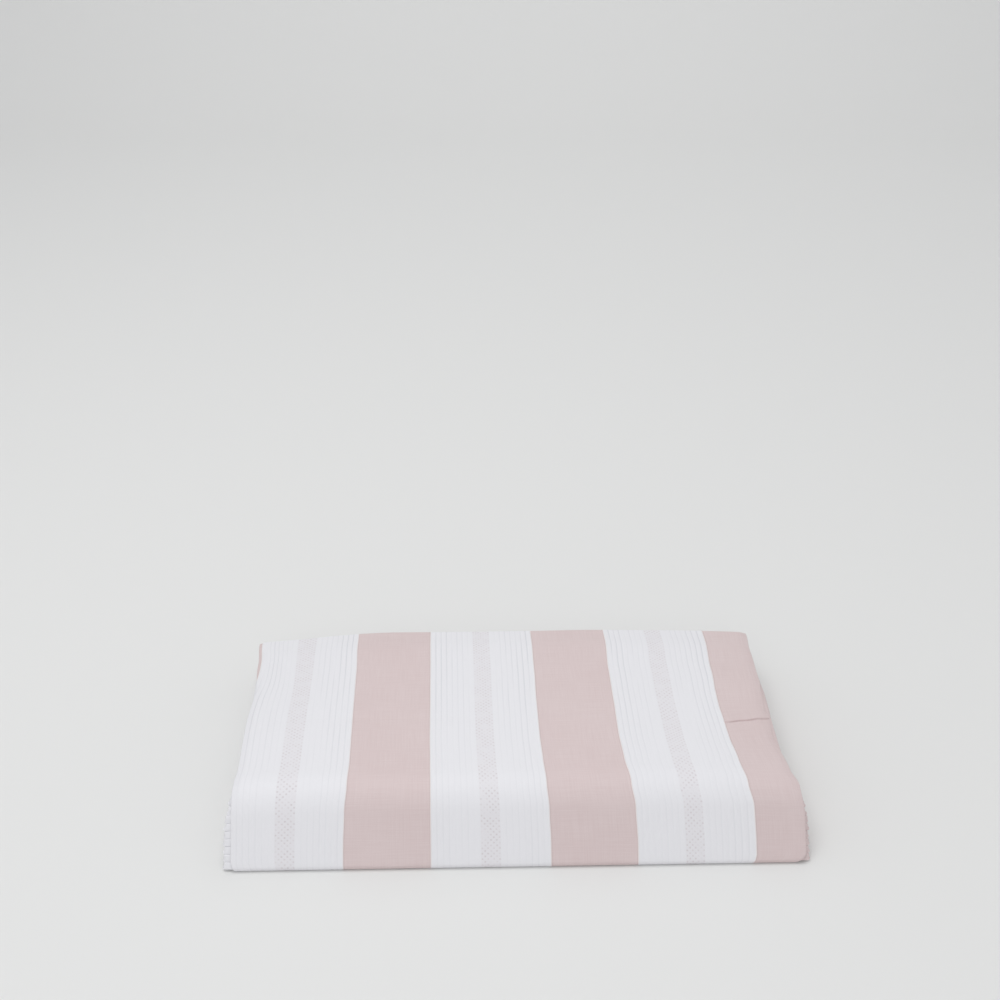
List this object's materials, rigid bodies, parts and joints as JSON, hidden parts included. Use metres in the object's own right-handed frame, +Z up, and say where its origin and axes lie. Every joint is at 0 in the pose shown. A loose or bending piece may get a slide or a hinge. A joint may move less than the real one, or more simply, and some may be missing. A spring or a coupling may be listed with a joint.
{
  "type": "folded duvet cover",
  "caption": "Duvet cover folded into a flat rectangular bundle with a rounded front fold, broad lengthwise stripes and a gently crowned top.",
  "frame": {"origin": "centre of the bundle's bounding box, on its underside", "axes": "+X runs along the rounded front fold to the right, +Y away from the front fold to the back edge, +Z up"},
  "size_m": [0.4624, 0.26, 0.058],
  "materials": {
    "striped_cotton": "matte woven cotton, broad white stripes with fine cords and narrower dusty pink stripes"
  },
  "bodies": {
    "root": {"cover_cloth": "striped_cotton"}
  },
  "joints": []
}
